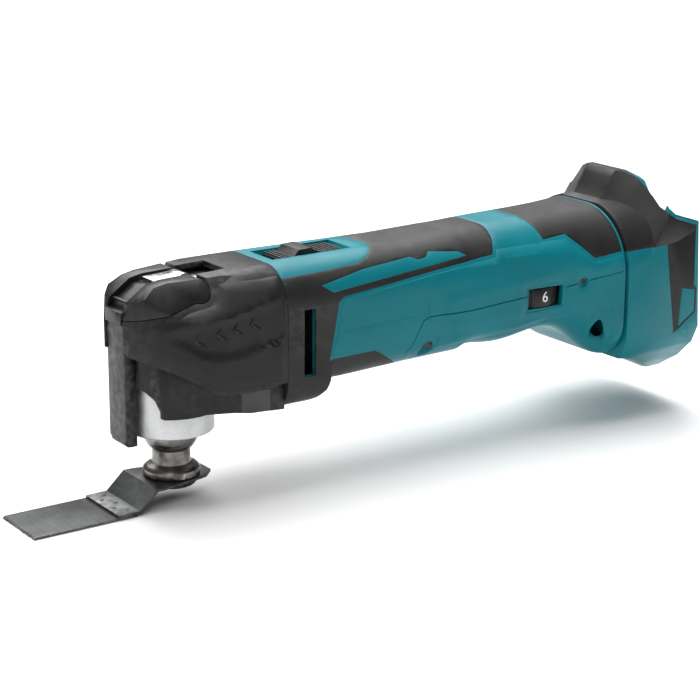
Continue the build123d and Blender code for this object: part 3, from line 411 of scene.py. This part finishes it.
def relief(name, outline, target, material, slot_name, rise_at, side, step, band,
           lines=(), holes=()):
    """A patch that stands over the surface inside a side-view outline, as high as rise_at says."""
    points, loops, allowed, edge_gap = patch_plan(outline, holes, lines, step, band)
    verts, _, faces, _, _, _ = delaunay_2d_cdt(points, loops, [], 0, MERGE_DISTANCE)
    mesh = bmesh.new()
    made = []
    for p in verts:
        start = Vector((p.x * MM, side * RAY_START, p.y * MM))
        hit = target.ray_cast(start, Vector((0, -side, 0)))[0]
        if hit is None:
            made.append(None)
            continue
        lift = rise_at(p.x, p.y, edge_gap((p.x, p.y)), abs(hit.y) / MM)
        made.append(mesh.verts.new(hit + Vector((0, side, 0)) * lift * MM))
    for face in faces:
        corners = [made[i] for i in face]
        centre = sum((verts[i] for i in face), Vector((0, 0))) / len(face)
        if None not in corners and allowed(centre):
            made_face = mesh.faces.new(corners)
            made_face.normal_update()
            if made_face.normal.y * side < 0:
                made_face.normal_flip()
    loose = [v for v in mesh.verts if not v.link_faces]
    bmesh.ops.delete(mesh, geom=loose, context="VERTS")
    for edge in mesh.edges:
        if len(edge.link_faces) == 2 and edge.calc_face_angle(0) > SHARP_FOLD:
            edge.smooth = False
    return mesh_object(name, mesh, material, "housing")


# ---- handle: chamfered and faceted sides ---------------------------------------------
SKIN = 0.14                        # least rise of a patch over the plain form
ON_EDGE = 0.02                     # points nearer the patch's edge than this are sunk
PANEL_SINK = 0.25                  # how deep, on the handle, the cover and the chevrons
COVER_SINK = 0.2
CHEVRON_SINK = 0.1
PANEL_RISE = (0.3, 0.3)            # rise of the handle's panel, and how fast it is reached
SIDES = ((-1, "dial_side"), (1, "far_side"))
PANEL_MESH = (1.4, 0.7)            # step and band of the large patches
MARK_MESH = (0.5, 0.3)             # step and band of the small marks
HALF_WIDTHS = [(44, 31.4), (120, 31.3), (150, 31.5), (172, 31.9), (190, 32.6), (206, 34.0),
               (216, 35.2), (227, 37.0), (241.5, 39.3)]
UPPER_CREASE = [(137, 68.8), (178.5, 71.7), (203.5, 74.8), (241, 77.7)]
LOWER_CREASE = [(137, 57), (145, 50.4), (181, 51.0), (206, 51.0), (217, 46.5), (241, 33)]
FACET_STEP = [(126.5, 84), (131.7, 76.6), (136.6, 68.9), (135.3, 62), (137, 57.8), (144, 49.8),
              (148, 42)]
FACET_END = 147                    # where the facets start below and above the step's line
FACET_EASE = 5                     # length over which the facets rise from the step
FACET_OUT = 0.95                   # how far the widest facet stands out at the front
FACET_FADE = (0.6, 200, 40)        # how much of that is lost, from where, and over what length
FACET_SLOPES = (0.17, 0.75)        # fall per millimetre above and below the creases
FACET_LEAST = 0.1                  # rise over the skin
FACET_MOST = 1.7
FACET_EDGE_SLOPE = 0.35            # rise per millimetre from the patch's edge
SEAM = [(112.5, 43.4), (115.3, 49.3), (117.3, 56), (120.4, 61.5), (124, 62.8), (148, 62.2),
        (182, 64.1), (207.5, 66.3), (241.8, 70.8)]
SEAM_HALF = 0.15
SEAM_SIDE = 0.35                   # from the seam's line to either side of its groove
SEAM_DEPTH = 0.6
BADGE = [(75, 63), (123.6, 64.6), (122, 77.5), (74, 77.6)]
BADGE_DEPTH = 0.22
BADGE_STEP = 0.3                   # width of the step round the badge
TEAL_SIDE = [(67.6, 51.7), (93.8, 52.0), (99.2, 48.9), (107, 44.4), (121.2, 43.2), (121.2, 50.6),
             (130.6, 50.6), (130.6, 43.6), (180, 45.4), (200, 48.4), (212, 48.2), (223.6, 44.6),
             (224.6, 51.4), (233.4, 51.4), (234.4, 33), (241.2, 30), (241.2, 79.2),
             (224.0, 77.2), (210.6, 89.2), (167.6, 89), (165.4, 85.6), (129, 83.2), (76.4, 78.9),
             (73.2, 77.2), (70.6, 63.2)]
DIAL_FRAME = [(183.2, 55.8), (206.0, 56.6), (206.4, 68.6), (183.0, 68.2)]
PIN_PLACE = (217, 67.4)
DISH_RADIUS = 2.6
DISH_POINTS = 16
DISH_ANGLES = [k * math.tau / DISH_POINTS for k in range(DISH_POINTS)]
PIN_DISH = [(PIN_PLACE[0] + DISH_RADIUS * math.cos(angle),
             PIN_PLACE[1] + DISH_RADIUS * math.sin(angle)) for angle in DISH_ANGLES]


def handle_rise(x, z, gap, depth):
    """How far the moulded side stands over the plain form, in millimetres."""
    if gap < ON_EDGE:
        return -PANEL_SINK
    rise = SKIN + min(PANEL_RISE[0], gap * PANEL_RISE[1])
    step_x = next((a[0] + (b[0] - a[0]) * (z - a[1]) / (b[1] - a[1])
                   for a, b in zip(FACET_STEP, FACET_STEP[1:]) if b[1] <= z <= a[1]), FACET_END)
    if x > step_x - FACET_EASE:
        fade, fade_from, fade_length = FACET_FADE
        face = (value_at(HALF_WIDTHS, x) + FACET_OUT
                - fade * smooth((x - fade_from) / fade_length))
        face -= (FACET_SLOPES[0] * max(0, z - value_at(UPPER_CREASE, x))
                 + FACET_SLOPES[1] * max(0, value_at(LOWER_CREASE, x) - z))
        facet = min(max(SKIN + FACET_LEAST, min(face - depth, FACET_MOST)),
                    SKIN + FACET_EDGE_SLOPE * gap)
        rise += (facet - rise) * smooth((x - step_x + FACET_EASE) / FACET_EASE)
    if inside((x, z), BADGE):
        rise -= BADGE_DEPTH
    if line_distance((x, z), SEAM) < SEAM_HALF:
        rise -= SEAM_DEPTH
    return rise


shell = surface_of(nodes["upper_housing"], nodes["lower_housing"])
badge_rim = offset_line(BADGE, BADGE_STEP, True)
handle_lines = [SEAM, offset_line(SEAM, SEAM_SIDE), offset_line(SEAM, -SEAM_SIDE), UPPER_CREASE,
                LOWER_CREASE, FACET_STEP, BADGE + BADGE[:1], badge_rim + badge_rim[:1]]
for side, tag in SIDES:
    relief("handle_panel_" + tag, TEAL_SIDE, shell, TEAL, "teal_housing", handle_rise, side,
           *PANEL_MESH, lines=handle_lines, holes=[PIN_DISH, DIAL_FRAME])

# ---- head: bulged cover with a trough and four chevrons ---------------------------------
TROUGH = [(-16.6, 73.2), (-7.2, 76.3), (4.8, 79.4), (19.6, 82.2), (33.8, 84.3), (48, 86.6),
          (48, 67.5), (28.3, 62.1), (19.4, 60.0), (10.6, 59.9), (0.2, 61.4), (-6.6, 66.3)]
TROUGH_TOP = TROUGH[:6]            # its upper bank, and then the lower one
TROUGH_FLOOR = TROUGH[7:] + TROUGH[:1]
TROUGH_REAR = (60, 80)             # the upper bank runs on to here, past the cover
TROUGH_DEPTH = 1.1
TROUGH_EASE = (5, 3.2)             # width of the upper and of the lower bank
COVER_SIDE = [(-19.5, 61.0), (-10, 57.0), (3.5, 48.6), (8.9, 44.9), (24, 44.1), (43.2, 45.2),
              (43.2, 93.0), (14, 92.4), (9.6, 84.8), (4, 83.6), (-3, 82.6), (-12, 79.6),
              (-19.5, 77.6)]
COVER_BULGE = 1.25
COVER_SLOPE = 0.32                 # rise per millimetre from the cover's edge
CHEVRON_RISE = 1.1                 # from its sunk edge to its flat top
CHEVRON_EASE = 0.55                # width of its steep side
CHEVRON = [(-3.5, 69.2), (-3.1, 70.7), (0.0, 73.9), (-1.3, 70.1), (3.9, 66.4), (-2.3, 68.0)]
CHEVRON_STEPS = [(0, 0), (9.9, 1.9), (18.2, 3.3), (27.0, 4.6)]


def cover_rise(x, z, gap, depth):
    """Bulge of the head cover around its trough, in millimetres."""
    if gap < ON_EDGE:
        return -COVER_SINK
    full = min(COVER_BULGE, SKIN + COVER_SLOPE * gap)
    if not inside((x, z), TROUGH):
        return full
    upper = smooth(line_distance((x, z), TROUGH_TOP + [TROUGH_REAR]) / TROUGH_EASE[0])
    lower = smooth(line_distance((x, z), TROUGH_FLOOR) / TROUGH_EASE[1])
    return max(SKIN, full - TROUGH_DEPTH * upper * lower)


def chevron_rise(x, z, gap, depth):
    """A chevron's height over the cover, in millimetres: steep at its edge, then flat."""
    return -CHEVRON_SINK + CHEVRON_RISE * min(1, gap / CHEVRON_EASE)


for side, tag in SIDES:
    bulge = relief("cover_bulge_" + tag, COVER_SIDE, surface_of(nodes["head_cover"]), BLACK,
                   "black_cover", cover_rise, side, *PANEL_MESH,
                   lines=[TROUGH[6:] + TROUGH[:1], TROUGH_TOP])
    bulge_surface = surface_of(bulge)
    for i, (dx, dz) in enumerate(CHEVRON_STEPS):
        mark = [(x + dx, z + dz) for x, z in CHEVRON]
        relief("chevron_%d_%s" % (i + 1, tag), mark, bulge_surface, BLACK, "black_cover",
               chevron_rise, side, *MARK_MESH)

# ---- painted shade: black rubber ring filling the gap between the handle and the battery housing, standing in for the groove's shadow ---
SHADE_RING_DEPTH = 1.6                 # how far the painted-shade ring lies below the handle's rim
SHADE_RING_CROWN = 0.3                 # how much less, in the middle of the gap
SHADE_RING_WALL = 3.0
RIM = (39.3, 23.2, 100.4, 32.0, 20.0)    # half width, base, top, top radius, low radius
ARC_STEPS = 10


def shade_ring_loop(inset):
    """The rim's rounded section across the tool, taken in, as (y, z) in millimetres."""
    half, base, top, r_top, r_low = (RIM[0] - inset, RIM[1] + inset, RIM[2] - inset,
                                     RIM[3] - inset, RIM[4] - inset)
    made = []
    for y, z, radius, start in ((half - r_top, top - r_top, r_top, 0),
                                (r_top - half, top - r_top, r_top, 90),
                                (r_low - half, base + r_low, r_low, 180),
                                (half - r_low, base + r_low, r_low, 270)):
        for k in range(ARC_STEPS + 1):
            angle = math.radians(start + 90 * k / ARC_STEPS)
            made.append((y + radius * math.cos(angle), z + radius * math.sin(angle)))
    return made


handle_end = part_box("upper_housing")[1].x
bay_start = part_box("battery_housing")[0].x
# painted shade: a black rubber ring closes the gap so that the groove reads dark as its shadow
shade_ring = bmesh.new()
rings = []
for inset, x in ((SHADE_RING_DEPTH, handle_end),
                 (SHADE_RING_DEPTH - SHADE_RING_CROWN, (handle_end + bay_start) / 2),
                 (SHADE_RING_DEPTH, bay_start), (SHADE_RING_DEPTH + SHADE_RING_WALL, bay_start),
                 (SHADE_RING_DEPTH + SHADE_RING_WALL, handle_end)):
    rings.append([shade_ring.verts.new((x, y * MM, z * MM)) for y, z in shade_ring_loop(inset)])
for first, second in zip(rings, rings[1:] + rings[:1]):
    for i in range(len(first)):
        shade_ring.faces.new((first[i - 1], first[i], second[i], second[i - 1]))
bmesh.ops.recalc_face_normals(shade_ring, faces=shade_ring.faces)
# the ring's black rubber is painted shade for the groove between the handle and the battery
# housing
mesh_object("bay_shade_ring", shade_ring, RUBBER, "housing")

# ---- the dial's number ---------------------------------------------------------------------
DIGIT_SIZE = 7.6
DIGIT_DEPTH = 0.12
DIGIT_GAP = 0.02                   # between the dial and the middle of the digit
digit_curve = bpy.data.curves.new("dial_number", "FONT")
digit_curve.body = "6"
digit_curve.size = DIGIT_SIZE * MM
digit_curve.extrude = DIGIT_DEPTH * MM
digit_curve.align_x = "CENTER"
digit_curve.align_y = "CENTER"
dial_low, dial_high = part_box("speed_dial")
digit_source = bpy.data.objects.new("dial_number_source", digit_curve)
bpy.context.scene.collection.objects.link(digit_source)
digit_source.rotation_euler = (math.radians(90), 0, 0)
digit_source.location = ((dial_low.x + dial_high.x) / 2, dial_low.y - DIGIT_GAP * MM,
                         (dial_low.z + dial_high.z) / 2)
bpy.context.view_layer.update()
digit_mesh = bmesh.new()
digit_mesh.from_mesh(bpy.data.meshes.new_from_object(digit_source))
digit_mesh.transform(digit_source.matrix_world)
bpy.data.objects.remove(digit_source)
mesh_object("dial_number", digit_mesh, WHITE, "dial")

# ---- studio -----------------------------------------------------------------------
FLOOR_SIZE = 6
FLOOR_GAP = 0.0004                 # metres between the floor and the lowest point
WORLD_STRENGTH = 0.2
AIM = (0.1, 0, 0.06)               # middle of the tool, in metres
floor_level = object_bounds()[0].z - FLOOR_GAP
bpy.ops.mesh.primitive_plane_add(size=FLOOR_SIZE, location=(AIM[0], 0, floor_level))
floor = bpy.context.object
floor.name = "floor"
floor.data.materials.append(studio_floor())

world = bpy.data.worlds.new("studio")
world.use_nodes = True
world.node_tree.nodes["Background"].inputs["Color"].default_value = (1, 1, 1, 1)
world.node_tree.nodes["Background"].inputs["Strength"].default_value = WORLD_STRENGTH
bpy.context.scene.world = world


def softbox(name, place, target, size, power):
    """A square area light turned to its target."""
    data = bpy.data.lights.new(name, "AREA")
    data.energy = power
    data.size = size
    lamp = bpy.data.objects.new(name, data)
    lamp.location = place
    aim = Vector(target) - Vector(place)
    lamp.rotation_mode = "QUATERNION"
    lamp.rotation_quaternion = aim.to_track_quat("-Z", "Y")
    bpy.context.scene.collection.objects.link(lamp)


softbox("key", (-0.45, -0.8, 1.15), AIM, 0.8, 5)
softbox("top", (0.2, 0.2, 1.25), AIM, 1.0, 21)
softbox("side", (-1.2, 0.1, 0.4), (0.0, 0, 0.06), 0.6, 3)
softbox("backdrop", (0.9, 2.0, 1.7), (0.9, 2.0, 0), 2.4, 75)

# the camera stands 35 degrees round towards the head, and looks down 16.4 degrees
TURN = math.radians(35.0)
RISE = math.radians(16.4)
ROLL = math.radians(0.34)
CAMERA_PLACE = (-0.41668, -0.73775, 0.30763)
back = Vector((-math.sin(TURN) * math.cos(RISE), -math.cos(TURN) * math.cos(RISE),
               math.sin(RISE)))
right = Vector((math.cos(TURN), -math.sin(TURN), 0))
up = back.cross(right)
right, up = (right * math.cos(ROLL) + up * math.sin(ROLL),
             up * math.cos(ROLL) - right * math.sin(ROLL))
camera_data = bpy.data.cameras.new("camera")
camera_data.lens = 100.0
camera_data.sensor_width = 36.0
camera = bpy.data.objects.new("camera", camera_data)
bpy.context.scene.collection.objects.link(camera)
camera.matrix_world = Matrix((
    *((right[i], up[i], back[i], CAMERA_PLACE[i]) for i in range(3)),
    (0, 0, 0, 1),
))
bpy.context.scene.camera = camera
bpy.context.scene.view_settings.view_transform = "Standard"
